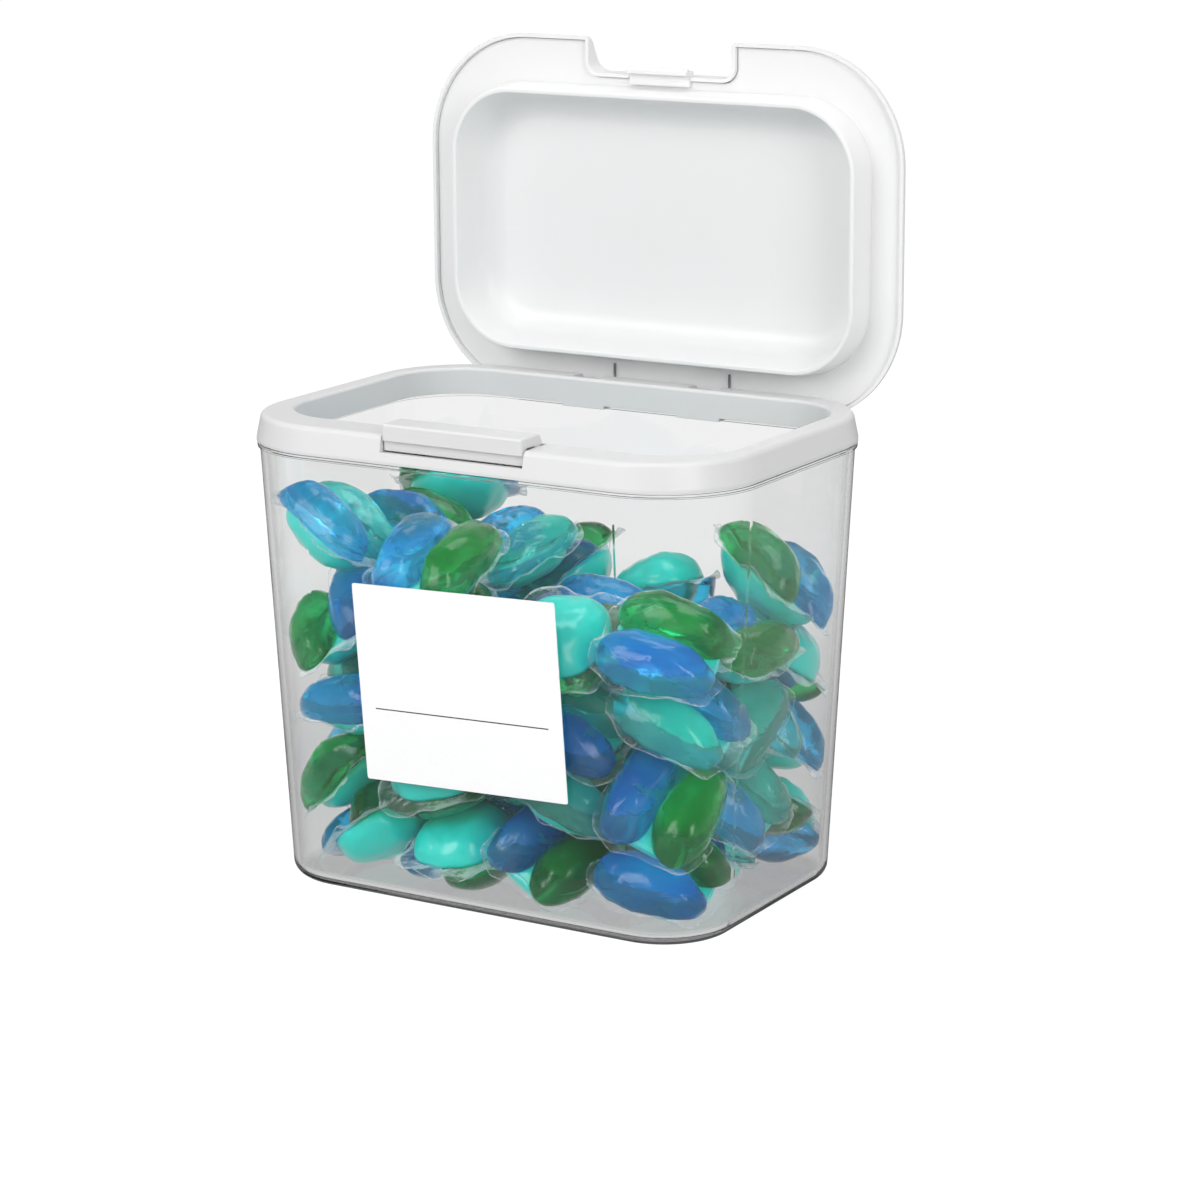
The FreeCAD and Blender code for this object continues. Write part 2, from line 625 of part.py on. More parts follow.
block(liner, "CatchRib", (-catchHalf, catchBack - 0.1, collarTop + 0.5),
      (catchHalf, notchBack + 3.6, flangeUnder + 0.5))
nose = newSketch(liner, "CatchNose", "YZ_Plane", 0)
addPolygon(nose, [(catchFront + 0.3, catchEnd), (catchFront, catchEnd),
                  (catchFront - catchNose, catchEnd + 1.4),
                  (catchFront - catchNose, hookUnder - 0.3),
                  (catchFront + 0.3, hookUnder - 0.3)])
pad(liner, nose, catchWidth, "CatchNosePad", middle=True)
armShift = -1.9
for side, sign in (("Left", -1), ("Right", 1)):
    armX = sign * hingeSpread + armShift
    block(liner, f"Arm{side}", (armX - armWidth / 2, armFront, hingeZ),
          (armX + armWidth / 2, armBack, flangeUnder + 0.5))
    rod(liner, f"Knuckle{side}", armX, armWidth, hingeY, hingeZ, knuckleRadius)
    rod(liner, f"KnuckleBore{side}", armX, armWidth + 1, hingeY, hingeZ,
        hingePinRadius + pinPlay, cut=True)
doc.recompute()

# Hinge pins, fixed in the collar
pins = []
for side, sign in (("left", -1), ("right", 1)):
    pin = newBody(f"hinge_pin_{side}")
    rod(pin, f"HingePin{side}", sign * hingeSpread, hingePinLength, hingeY, hingeZ,
        hingePinRadius)
    pins.append(pin)
doc.recompute()


def wireSolid(points, wireSize):
    """A round wire along straight runs joined by ball corners."""
    radius = wireSize / 2
    solid = None
    for begin, end in zip(points[:-1], points[1:]):
        run = end - begin
        piece = Part.makeCylinder(radius, run.Length, begin, run)
        solid = piece if solid is None else solid.fuse(piece)
    for corner in points[:-1]:
        solid = solid.fuse(Part.makeSphere(radius * 1.06, corner))
    return solid


def coilSolid(radius, wireSize, pitch, turns, place):
    """A helical coil of round wire about local Z, moved to its place."""
    helix = Part.makeHelix(pitch, pitch * turns, radius)
    start = FreeCAD.Vector(radius, 0, 0)
    heading = FreeCAD.Vector(0, radius, pitch / (2 * math.pi))
    profile = Part.Wire([Part.makeCircle(wireSize / 2, start, heading)])
    coil = Part.Wire(helix.Edges).makePipeShell([profile], True, True)
    coil.Placement = place
    return coil


def addWirePart(name, solid):
    """A bent-wire piece: its helix and legs have no Part primitive of their own."""
    feature = doc.addObject("Part::Feature", name)
    feature.Shape = solid.removeSplitter()
    feature.Label = name
    return feature


# Torsion springs on the hinge pins: one leg stands in the collar's slot and
# the other lies along the opened lid's flange
hingeTurns = 4.25
hingePitch = hingeWire.value * 1.18
coilStart = 0.35
joint = 0.12
for side, sign in (("left", -1), ("right", 1)):
    startX = sign * hingeSpread.value + coilStart
    endX = startX + hingePitch * hingeTurns
    turned = FreeCAD.Rotation(FreeCAD.Vector(0, 1, 0), 90)
    place = FreeCAD.Placement(FreeCAD.Vector(startX, hingeY.value, hingeZ.value), turned)
    coil = coilSolid(hingeCoil.value, hingeWire.value, hingePitch, hingeTurns, place)
    under = hingeZ.value - hingeCoil.value
    slotY = slotFront.value + 1.0
    legTop = collarTop.value - 1.1
    fixedLeg = [FreeCAD.Vector(startX, hingeY.value - joint, under),
                FreeCAD.Vector(startX, slotY, under),
                FreeCAD.Vector(startX, slotY, legTop),
                FreeCAD.Vector(startX - 2.6, slotY, legTop)]
    behind = hingeY.value + hingeCoil.value
    openFlangeY = hingeY.value + flangeUnder.value - hingeZ.value
    legY = openFlangeY - hingeWire.value / 2 - 0.1
    ringFootZ = hingeZ.value + hingeY.value - plugShift.value - plugDepth.value / 2
    lidLeg = [FreeCAD.Vector(endX, behind, hingeZ.value + joint),
              FreeCAD.Vector(endX, behind, hingeZ.value + 2.2),
              FreeCAD.Vector(endX, legY, hingeZ.value + 3.4),
              FreeCAD.Vector(endX, legY, ringFootZ - 2.4)]
    legs = [wireSolid(fixedLeg, hingeWire.value), wireSolid(lidLeg, hingeWire.value)]
    addWirePart(f"hinge_spring_{side}", coil.fuse(legs))

# Return springs of the latch, standing in the well
latchTurns = 6
springGap = 0.1
springFloor = wellFloor.value + springGap
springTop = latchCeiling.value - springGap
latchPitch = (springTop - springFloor - latchWire.value) / latchTurns
for side, sign in (("left", -1), ("right", 1)):
    foot = FreeCAD.Vector(sign * latchSpringX.value, latchSpringY.value,
                          springFloor + latchWire.value / 2)
    place = FreeCAD.Placement(foot, FreeCAD.Rotation())
    coil = coilSolid(latchCoil.value, latchWire.value, latchPitch, latchTurns, place)
    addWirePart(f"latch_spring_{side}", coil)
doc.recompute()

# Label: a thin sheet on the leaning front wall
lean = math.degrees(math.atan(flare.value / landBottom.value))
labelGap = 0.05
wallFront = -footDepth / 2 - flare * (labelMiddleZ.value / landBottom.value)
label = newBody("label")
labelSketch = newSketch(label, "LabelOutline", "XZ_Plane", 0)
addRoundedRectangle(labelSketch, labelWidth, labelHeight, 0.8, 0)
pad(label, labelSketch, labelSheet, "LabelSheet")
label.Placement = FreeCAD.Placement(
    FreeCAD.Vector(labelMiddleX.value, wallFront.value - labelGap, labelMiddleZ.value),
    FreeCAD.Rotation(FreeCAD.Vector(1, 0, 0), lean)
    .multiply(FreeCAD.Rotation(FreeCAD.Vector(0, 1, 0), -labelTilt)))
doc.recompute()

# Pods: a film with two upper chambers and one lower chamber, in three sizes,
# each a little smaller than the space it settles in
podShare = 0.95
podPatterns = []
for number, swell in enumerate((1.0, 0.94, 1.05)):
    size = swell * podShare
    pattern = newBody(f"PodPattern{number + 1}")
    film = outline(pattern, f"PodFilm{number + 1}", podLength * size, podWidth * size,
                   podCorner * size, -podFilm / 2)
    pad(pattern, film, podFilm, f"PodFilmPad{number + 1}")
    chambers = (("LobeA", 1, lobeLength, lobeWidth, lobeHeight, lobeOffset),
                ("LobeB", 1, lobeLength, lobeWidth, lobeHeight, -lobeOffset),
                ("Dome", -1, domeLength, domeWidth, domeHeight, asSize(0)))
    for title, way, length, width, height, across in chambers:
        chamber = pattern.newObject("PartDesign::AdditiveEllipsoid", f"{title}{number + 1}")
        chamber.AttachmentSupport = [(plane(pattern, "XY_Plane"), "")]
        chamber.MapMode = "FlatFace"
        bind(chamber, "Radius1", height * size)
        bind(chamber, "Radius2", length * size / 2)
        bind(chamber, "Radius3", width * size / 2)
        bind(chamber, "AttachmentOffset.Base.y", across * size)
        if way > 0:
            chamber.Angle1 = 0
            chamber.Angle2 = 90
        else:
            chamber.Angle1 = -90
            chamber.Angle2 = 0
    podPatterns.append((pattern, swell))
doc.recompute()


def podBalls(swell):
    """Balls that fill a pod's chambers and line its film, for settling the heap."""
    lobeY = lobeOffset.value
    balls = [(0.0, 0.0, -1.4, 10.8)]
    for x in (-12.0, 0.0, 12.0):
        for y in (-lobeY, lobeY):
            balls.append((x, y, 2.0 if x == 0 else 1.0, 10.9 if x == 0 else 9.4))
    for x in (-8.0, 8.0):
        balls.append((x, 0.0, -1.8, 9.8))
    for x in (-18.0, 18.0):
        balls.append((x, -15.6, 0.0, 2.4))
        balls.append((x, 15.6, 0.0, 2.4))
        balls.append((x * 1.11, 0.0, 0.0, 2.4))
    return [tuple(value * swell for value in ball) for ball in balls]


def wallContacts(x, y, z, radius):
    """How deep a ball is in the tub's leaning walls and in its floor."""
    part = min(max(z / shoulderHeight.value, 0.0), 1.4)
    gap = wall.value + 0.3
    halfWidth = (footWidth.value + (shoulderWidth.value - footWidth.value) * part) / 2 - gap
    halfDepth = (footDepth.value + (shoulderDepth.value - footDepth.value) * part) / 2 - gap
    corner = footRadius.value + (shoulderRadius.value - footRadius.value) * part - gap
    overX = abs(x) - (halfWidth - corner)
    overY = abs(y) - (halfDepth - corner)
    signX = 1.0 if x > 0 else -1.0
    signY = 1.0 if y > 0 else -1.0
    found = []
    if overX > 0 and overY > 0:
        reach = math.hypot(overX, overY)
        depth = reach - corner + radius
        normal = (-signX * overX / reach, -signY * overY / reach, 0.0)
    elif overX > overY:
        depth = overX - corner + radius
        normal = (-signX, 0.0, 0.0)
    else:
        depth = overY - corner + radius
        normal = (0.0, -signY, 0.0)
    if depth > 0:
        found.append((normal, depth))
    depth = floorWall.value + 0.3 + radius - z
    if depth > 0:
        found.append(((0.0, 0.0, 1.0), depth))
    return found


class Heap:
    """Pods as rigid clusters of balls that grow, sink into the tub and push apart."""

    inertia = 110.0
    smallest = 0.5
    spareGap = 0.3

    def __init__(self, swells, seed):
        random = Random(seed)
        columns, rows = 4, 3
        self.scale = self.smallest
        self.balls = [podBalls(swell) for swell in swells]
        self.places = []
        self.turns = []
        rise = 150 * columns * rows / len(swells)
        for index in range(len(swells)):
            layer, spot = divmod(index, columns * rows)
            column, row = divmod(spot, rows)
            start = ((column - 1.5) * 43, (row - 1) * 36, 16 + layer * rise)
            self.places.append([value + random.uniform(-7, 7) for value in start])
            axis = FreeCAD.Vector(*[random.gauss(0, 1) for _ in range(3)])
            self.turns.append(FreeCAD.Rotation(axis, random.uniform(-180, 180)))

    def centres(self):
        """Every ball's place and radius, pod by pod."""
        table = []
        for place, turn, balls in zip(self.places, self.turns, self.balls):
            origin = FreeCAD.Vector(*place)
            spots = []
            for x, y, z, radius in balls:
                spot = turn.multVec(FreeCAD.Vector(x, y, z)) * self.scale + origin
                spots.append((spot.x, spot.y, spot.z, radius * self.scale + self.spareGap))
            table.append(spots)
        return table

    def nearPairs(self, table, reach):
        """Pairs of balls of different pods that are close to each other."""
        pairs = []
        for first in range(len(table)):
            for second in range(first + 1, len(table)):
                if math.dist(self.places[first], self.places[second]) > 58:
                    continue
                for i, (x, y, z, r) in enumerate(table[first]):
                    for j, (u, v, w, s) in enumerate(table[second]):
                        limit = r + s + reach
                        if (x - u) ** 2 + (y - v) ** 2 + (z - w) ** 2 < limit * limit:
                            pairs.append((first, i, second, j))
        return pairs

    def push(self, index, spot, normal, amount):
        """Note one push on a pod at a spot along a normal."""
        place = self.places[index]
        armX, armY, armZ = (spot[axis] - place[axis] for axis in range(3))
        lever = (armY * normal[2] - armZ * normal[1], armZ * normal[0] - armX * normal[2],
                 armX * normal[1] - armY * normal[0])
        move = self.moves[index]
        for axis in range(3):
            move[axis] += amount * normal[axis]
            move[axis + 3] += amount * lever[axis] / self.inertia
        move[6] += 1

    def weight(self, index, spot, normal):
        place = self.places[index]
        armX, armY, armZ = (spot[axis] - place[axis] for axis in range(3))
        lever = (armY * normal[2] - armZ * normal[1], armZ * normal[0] - armX * normal[2],
                 armX * normal[1] - armY * normal[0])
        return 1 + (lever[0] ** 2 + lever[1] ** 2 + lever[2] ** 2) / self.inertia

    def relax(self, pairs):
        """Push apart what overlaps, once."""
        table = self.centres()
        self.moves = [[0.0] * 7 for _ in table]
        deepest = 0.0
        for first, i, second, j in pairs:
            x, y, z, r = table[first][i]
            u, v, w, s = table[second][j]
            dx, dy, dz = x - u, y - v, z - w
            square = dx * dx + dy * dy + dz * dz
            if square >= (r + s) ** 2:
                continue
            gap = math.sqrt(square)
            depth = r + s - gap
            deepest = max(deepest, depth)
            normal = (dx / gap, dy / gap, dz / gap)
            back = (-normal[0], -normal[1], -normal[2])
            spotA = (x - normal[0] * r, y - normal[1] * r, z - normal[2] * r)
            spotB = (u + normal[0] * s, v + normal[1] * s, w + normal[2] * s)
            amount = depth / (self.weight(first, spotA, normal)
                              + self.weight(second, spotB, normal))
            self.push(first, spotA, normal, amount)
            self.push(second, spotB, back, amount)
        for index, spots in enumerate(table):
            for x, y, z, r in spots:
                for normal, depth in wallContacts(x, y, z, r):
                    spot = (x - normal[0] * r, y - normal[1] * r, z - normal[2] * r)
                    self.push(index, spot, normal, depth / self.weight(index, spot, normal))
        for index, move in enumerate(self.moves):
            share = 1.25 / max(1.0, move[6] ** 0.75)
            for axis in range(3):
                self.places[index][axis] += move[axis] * share
            spin = FreeCAD.Vector(move[3], move[4], move[5]) * share
            if spin.Length > 1e-9:
                turn = FreeCAD.Rotation(spin, math.degrees(spin.Length))
                self.turns[index] = turn * self.turns[index]
        return deepest

    def settle(self, grows, falls, rests, drop):
        """Grow to full size, sink a little with each step, then only push apart."""
        for step in range(grows + falls + rests):
            if step % 5 == 0:
                pairs = self.nearPairs(self.centres(), 3.0)
            if step < grows:
                self.scale = self.smallest + (1 - self.smallest) * (step + 1) / grows
            elif step < grows + falls:
                for place in self.places:
                    place[2] -= drop
            deepest = self.relax(pairs)
        return deepest


podCount = 53
singlePods = 44
choices = [number % len(podPatterns) for number in range(podCount)]
swells = [podPatterns[choice][1] for choice in choices]
heap = Heap(swells, seed=12)
deepest = heap.settle(grows=300, falls=500, rests=750, drop=0.08)
heapTop = max(place[2] for place in heap.places)


def middleness(index):
    """How far a pod is from what can be seen: a wall or the top of the heap."""
    x, y, z = heap.places[index]
    return min(84 - abs(x), 58 - abs(y), heapTop - z)


# The pods nearest to a wall or to the top show, so they get nodes of their own.
# One large pod sits too tight among the others and takes the small size
smallPattern = podPatterns[1][0]
tightest = 16
order = sorted(range(podCount), key=middleness)
pods = []
middlePods = []
for rank, index in enumerate(order):
    pattern = smallPattern if rank + 1 == tightest else podPatterns[choices[index]][0]
    shape = pattern.Shape.copy()
    placement = FreeCAD.Placement(FreeCAD.Vector(*heap.places[index]), heap.turns[index])
    if rank < singlePods:
        pod = doc.addObject("Part::Feature", f"pod_{rank + 1:02d}")
        pod.Shape = shape
        pod.Placement = placement
        pod.Label = pod.Name
        pods.append(pod)
    else:
        shape.Placement = placement
        middlePods.append(shape)
podsMiddle = doc.addObject("Part::Feature", "pods_middle")
podsMiddle.Shape = Part.makeCompound(middlePods)
podsMiddle.Label = "pods_middle"

# The lid's pieces are swung open about the hinge
hingePoint = FreeCAD.Vector(0, hingeY.value, hingeZ.value)
swing = FreeCAD.Placement(FreeCAD.Vector(), FreeCAD.Rotation(FreeCAD.Vector(1, 0, 0),
                                                             -openAngle), hingePoint)
liner.Placement = swing
lidCover.Placement = swing
doc.recompute()

# Check every object, then write each piece
for item in doc.Objects:
    if "Invalid" in item.State or "Error" in item.State:
        raise RuntimeError(f"{item.Label} failed: {item.State}")
os.makedirs("parts", exist_ok=True)
names = ["tub_body", "collar", "latch_button", "latch_pin", "lid_cover", "lid_liner",
         "hinge_pin_left", "hinge_pin_right", "hinge_spring_left", "hinge_spring_right",
         "latch_spring_left", "latch_spring_right", "label"]
names += [pod.Label for pod in pods] + ["pods_middle"]
for name in names:
    piece = doc.getObjectsByLabel(name)[0]
    shape = piece.Shape
    if shape.isNull() or not shape.isValid():
        raise RuntimeError(f"{name} is not a valid shape")
    shape.exportStep(f"parts/{name}.step")
    print(name, "solids", len(shape.Solids), "volume", round(shape.Volume, 1))
print("heap top", round(heapTop, 1), "deepest overlap", round(deepest, 2))
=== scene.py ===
import math
import random

import bpy
import numpy as np
from mathutils import Matrix, Vector, noise


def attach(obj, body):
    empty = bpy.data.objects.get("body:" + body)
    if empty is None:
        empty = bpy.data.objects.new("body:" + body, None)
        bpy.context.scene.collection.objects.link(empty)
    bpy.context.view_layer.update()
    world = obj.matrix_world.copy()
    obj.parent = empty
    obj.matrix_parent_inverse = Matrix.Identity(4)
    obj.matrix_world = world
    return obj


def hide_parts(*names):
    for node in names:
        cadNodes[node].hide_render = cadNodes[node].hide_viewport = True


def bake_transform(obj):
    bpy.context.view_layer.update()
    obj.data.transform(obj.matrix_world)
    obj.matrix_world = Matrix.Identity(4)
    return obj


# Looks for the clear pod tub: soft studio, clear and white plastics, sprung
# hinges, the paper label and film-wrapped pods. Metres, +Z up, -Y front.

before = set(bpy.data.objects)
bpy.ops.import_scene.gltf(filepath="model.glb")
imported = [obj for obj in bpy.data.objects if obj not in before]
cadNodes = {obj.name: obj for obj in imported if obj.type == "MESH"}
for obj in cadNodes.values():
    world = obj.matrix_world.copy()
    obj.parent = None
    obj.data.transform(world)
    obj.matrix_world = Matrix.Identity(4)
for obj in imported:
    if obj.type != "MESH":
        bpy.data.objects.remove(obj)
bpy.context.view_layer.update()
mm = 0.001


# A hex sRGB colour as linear RGBA.
def colour(code):
    parts = [int(code[place:place + 2], 16) / 255 for place in (1, 3, 5)]
    parts = [part / 12.92 if part <= 0.04045 else ((part + 0.055) / 1.055) ** 2.4
             for part in parts]
    return (*parts, 1.0)


# Adds a shader node, sets its options and fills its sockets with values or links.
def addNode(tree, kind, inputs=None, **settings):
    node = tree.nodes.new(kind)
    for name, value in settings.items():
        setattr(node, name, value)
    for name, value in (inputs or {}).items():
        if isinstance(value, bpy.types.NodeSocket):
            tree.links.new(value, node.inputs[name])
        else:
            node.inputs[name].default_value = value
    return node


def newMaterial(name):
    material = bpy.data.materials.new(name)
    material.use_nodes = True
    material.node_tree.nodes.clear()
    return material, material.node_tree


def place(tree):
    return addNode(tree, "ShaderNodeTexCoord").outputs["Object"]


def surface(tree, shader):
    addNode(tree, "ShaderNodeOutputMaterial", {"Surface": shader})


# Lets lamps through a clear shader, tinted, so that what is inside stays lit.
def lampsPass(tree, shader, tint):
    path = addNode(tree, "ShaderNodeLightPath")
    through = addNode(tree, "ShaderNodeBsdfTransparent", {"Color": tint})
    mixed = addNode(tree, "ShaderNodeMixShader", {0: path.outputs["Is Shadow Ray"], 1: shader,
                                                  2: through.outputs[0]})
    return mixed.outputs[0]


# Clear injection-moulded tub: faint flow waves, polished. Its colour greys towards grazing angles
# as painted shade, in place of the dark edges and side walls.
def clearPlastic():
    material, tree = newMaterial("clear_moulded_plastic")
    waves = addNode(tree, "ShaderNodeTexNoise", {"Vector": place(tree), "Scale": 22.0,
                                                 "Detail": 2.0})
    bump = addNode(tree, "ShaderNodeBump", {"Height": waves.outputs["Fac"], "Strength": 0.25,
                                            "Distance": 0.6 * mm})
    slant = addNode(tree, "ShaderNodeLayerWeight", {"Blend": 0.5})
    painted_edge_shade = addNode(tree, "ShaderNodeMath", {0: slant.outputs["Facing"], 1: 3.0},
                    operation="POWER")
    # painted shade: grey mixed into the clear colour where the wall is seen edge on
    tint = addNode(tree, "ShaderNodeMix", {"Factor": painted_edge_shade.outputs[0],
                                           "A": colour("#fcfcfc"), "B": colour("#6e7073")},
                   data_type="RGBA")
    shader = addNode(tree, "ShaderNodeBsdfPrincipled", {
        "Base Color": tint.outputs["Result"], "Roughness": 0.02, "IOR": 1.36,
        "Transmission Weight": 1.0, "Normal": bump.outputs["Normal"]})
    surface(tree, lampsPass(tree, shader.outputs[0], colour("#f7f9fa")))
    return material


# White moulded plastic with a satin skin and a very fine grain.
def whitePlastic(name, tone):
    material, tree = newMaterial(name)
    spot = place(tree)
    grain = addNode(tree, "ShaderNodeTexNoise", {"Vector": spot, "Scale": 2600.0,
                                                 "Detail": 2.0})
    drift = addNode(tree, "ShaderNodeTexNoise", {"Vector": spot, "Scale": 30.0, "Detail": 3.0})
    rough = addNode(tree, "ShaderNodeMapRange", {"Value": drift.outputs["Fac"],
                                                 "To Min": 0.30, "To Max": 0.40})
    edge = addNode(tree, "ShaderNodeBevel", {"Radius": 0.3 * mm}, samples=4)
    bump = addNode(tree, "ShaderNodeBump", {"Height": grain.outputs["Fac"], "Strength": 0.12,
                                            "Distance": 0.05 * mm,
                                            "Normal": edge.outputs["Normal"]})
    shader = addNode(tree, "ShaderNodeBsdfPrincipled", {
        "Base Color": colour(tone), "Roughness": rough.outputs["Result"], "IOR": 1.46,
        "Subsurface Weight": 0.08, "Subsurface Radius": (0.002, 0.002, 0.002),
        "Subsurface Scale": 1.0, "Normal": bump.outputs["Normal"]})
    surface(tree, shader.outputs[0])
    return material


# Drawn steel wire and pins, with fine lines along the draw.
def steel(name, tone, roughness):
    material, tree = newMaterial(name)
    lines = addNode(tree, "ShaderNodeTexNoise", {"Vector": place(tree), "Scale": 900.0,
                                                 "Detail": 3.0})
    bump = addNode(tree, "ShaderNodeBump", {"Height": lines.outputs["Fac"], "Strength": 0.2,
                                            "Distance": 0.05 * mm})
    shader = addNode(tree, "ShaderNodeBsdfPrincipled", {
        "Base Color": colour(tone), "Metallic": 1.0, "Roughness": roughness,
        "Normal": bump.outputs["Normal"]})
    surface(tree, shader.outputs[0])
    return material


# Matt white label paper, with fibres and one thin dark rule.
def paper():
    material, tree = newMaterial("matt_label_paper")
    spot = place(tree)
    fibre = addNode(tree, "ShaderNodeTexNoise", {"Vector": spot, "Scale": 1400.0,
                                                 "Detail": 4.0})
    tone = addNode(tree, "ShaderNodeMix", {"Factor": fibre.outputs["Fac"],
                                           "A": colour("#f6f6f6"), "B": colour("#ffffff")},
                   data_type="RGBA")
    parts = addNode(tree, "ShaderNodeSeparateXYZ", {"Vector": spot})
    slant = addNode(tree, "ShaderNodeMath", {0: parts.outputs["X"], 1: rule["slope"],
                                             2: rule["height"] * mm}, operation="MULTIPLY_ADD")
    away = addNode(tree, "ShaderNodeMath", {0: parts.outputs["Z"], 1: slant.outputs[0]},
                   operation="SUBTRACT")
    across = addNode(tree, "ShaderNodeMath", {0: parts.outputs["X"], 1: rule["middle"] * mm},
                     operation="SUBTRACT")
    near = addNode(tree, "ShaderNodeMath", {0: away.outputs[0], 1: 0.0,
                                            2: rule["thick"] / 2 * mm}, operation="COMPARE")
    along = addNode(tree, "ShaderNodeMath", {0: across.outputs[0], 1: 0.0,
                                             2: rule["length"] / 2 * mm}, operation="COMPARE")
    drawn = addNode(tree, "ShaderNodeMath", {0: near.outputs[0], 1: along.outputs[0]},
                    operation="MULTIPLY")
    ink = addNode(tree, "ShaderNodeMix", {"Factor": drawn.outputs[0],
                                          "A": tone.outputs["Result"],
                                          "B": colour("#3c3c3e")}, data_type="RGBA")
    bump = addNode(tree, "ShaderNodeBump", {"Height": fibre.outputs["Fac"], "Strength": 0.15,
                                            "Distance": 0.03 * mm})
    shader = addNode(tree, "ShaderNodeBsdfPrincipled", {
        "Base Color": ink.outputs["Result"], "Roughness": 0.55,
        "Normal": bump.outputs["Normal"]})
    surface(tree, shader.outputs[0])
    return material


# Creased thin film: stretched ridges and small crinkles.
def wrinkles(tree, scale, strength):
    spot = place(tree)
    ridges = addNode(tree, "ShaderNodeTexNoise", {"Vector": spot, "Scale": scale,
                                                  "Detail": 3.0, "Distortion": 1.2})
    crinkle = addNode(tree, "ShaderNodeTexVoronoi", {"Vector": spot, "Scale": scale * 1.3},
                      feature="DISTANCE_TO_EDGE")
    both = addNode(tree, "ShaderNodeMath", {0: crinkle.outputs["Distance"], 1: 0.5,
                                            2: ridges.outputs["Fac"]},
                   operation="MULTIPLY_ADD")
    bump = addNode(tree, "ShaderNodeBump", {"Height": both.outputs[0], "Strength": strength,
                                            "Distance": 0.8 * mm})
    return bump.outputs["Normal"]


# Coloured see-through gel under tight film: light and deep patches, where
# the gel is thin or thick, and sharp streaks where the film is creased
def liquid(name, tone, deepTone, shade):
    material, tree = newMaterial(name)
    patches = addNode(tree, "ShaderNodeTexNoise", {"Vector": place(tree), "Scale": 34.0,
                                                   "Detail": 1.0})
    share = addNode(tree, "ShaderNodeMapRange", {"Value": patches.outputs["Fac"],
                                                 "From Min": 0.42, "From Max": 0.62})
    mixed = addNode(tree, "ShaderNodeMix", {"Factor": share.outputs["Result"],
                                            "A": colour(tone), "B": colour(deepTone)},
                    data_type="RGBA")
    creases = wrinkles(tree, 120.0, 0.5)
    shader = addNode(tree, "ShaderNodeBsdfPrincipled", {
        "Base Color": mixed.outputs["Result"], "Roughness": 0.05, "IOR": 1.32,
        "Transmission Weight": 0.86, "Coat Weight": 0.3, "Coat Roughness": 0.03,
        "Coat IOR": 1.5, "Normal": creases, "Coat Normal": creases})
    surface(tree, lampsPass(tree, shader.outputs[0], colour(shade)))
    return material


# Milky turquoise gel under tight film.
def opaqueGel():
    material, tree = newMaterial("turquoise_gel")
    shader = addNode(tree, "ShaderNodeBsdfPrincipled", {
        "Base Color": colour("#1fd2c4"), "Roughness": 0.28, "IOR": 1.4,
        "Subsurface Weight": 0.5, "Subsurface Radius": (0.002, 0.006, 0.006),
        "Subsurface Scale": 1.0, "Coat Weight": 0.5, "Coat Roughness": 0.08,
        "Normal": wrinkles(tree, 90.0, 0.12)})
    surface(tree, shader.outputs[0])
    return material


# Thin clear water-soluble film of a pod's sealed edge: nearly unseen face on, with painted
# highlights: white film shows where its creases turn away, in place of their reflections
def clearFilm():
    material, tree = newMaterial("clear_pod_film")
    creases = wrinkles(tree, 160.0, 0.9)
    slant = addNode(tree, "ShaderNodeLayerWeight", {"Blend": 0.5, "Normal": creases})
    # painted highlight: the white film grows opaque as the creased surface turns away from view
    painted_sheen_cover = addNode(tree, "ShaderNodeMapRange", {"Value": slant.outputs["Facing"],
                                                 "From Min": 0.35, "From Max": 0.95,
                                                 "To Min": 0.02, "To Max": 0.7})
    shader = addNode(tree, "ShaderNodeBsdfPrincipled", {
        "Base Color": colour("#f6fcff"), "Roughness": 0.12, "IOR": 1.5,
        "Alpha": painted_sheen_cover.outputs["Result"], "Coat Weight": 0.6, "Coat Roughness": 0.04,
        "Normal": creases, "Coat Normal": creases})
    surface(tree, lampsPass(tree, shader.outputs[0], colour("#eef6fa")))
    return material


# The rule's place on the label, in millimetres of the row frame
rule = {"middle": -0.8, "height": 71.6, "length": 70.0, "slope": 0.034, "thick": 0.45}

finishes = {
    "clear": clearPlastic(),
    # painted shade: the collar and latch button get a darker copy of the lid's white plastic, for
    # how light falls on them
    "white": whitePlastic("white_satin_collar_plastic_painted_shade", "#dadada"),
    "lid": whitePlastic("white_satin_lid_plastic", "#ececec"),
    "pin": steel("drawn_steel_pin", "#a3a4a8", 0.32),
    "wire": steel("spring_steel_wire", "#77787c", 0.3),
    "paper": paper(),
    "green": liquid("green_gel", "#2cc874", "#109048", "#7fe098"),
    "blue": liquid("blue_gel", "#40d0fc", "#3a9ce2", "#86d0f8"),
    "aqua": liquid("aqua_gel", "#66f0e4", "#2cd0c8", "#a8f4f0"),
    "turquoise": opaqueGel(),
    "film": clearFilm(),
}
print("materials done")

for node, finish in {
        "tub_body": "clear", "collar": "white", "latch_button": "white", "lid_cover": "lid",
        "lid_liner": "lid", "latch_pin": "pin", "hinge_pin_left": "pin",
        "hinge_pin_right": "pin",
        "label": "paper"}.items():
    cadNodes[node].data.materials.clear()
    cadNodes[node].data.materials.append(finishes[finish])
print("moulded pieces done")


pod = {
    "length": 46.2, "width": 41.6, "film": 0.24,
    "lobeLength": 41.4, "lobeWidth": 19.8, "lobeHeight": 12.7, "lobeOffset": 9.6,
    "domeLength": 37.0, "domeWidth": 33.0, "domeHeight": 11.8,
    "around": 44, "rings": 12, "variants": 8, "seed": 11, "solidLength": 43.2,
}


# A point on a superellipse.
def squircle(angle, halfLength, halfWidth, power):
    c, s = math.cos(angle), math.sin(angle)
    reach = (abs(c) ** power + abs(s) ** power) ** (-1 / power)
    return halfLength * c * reach, halfWidth * s * reach


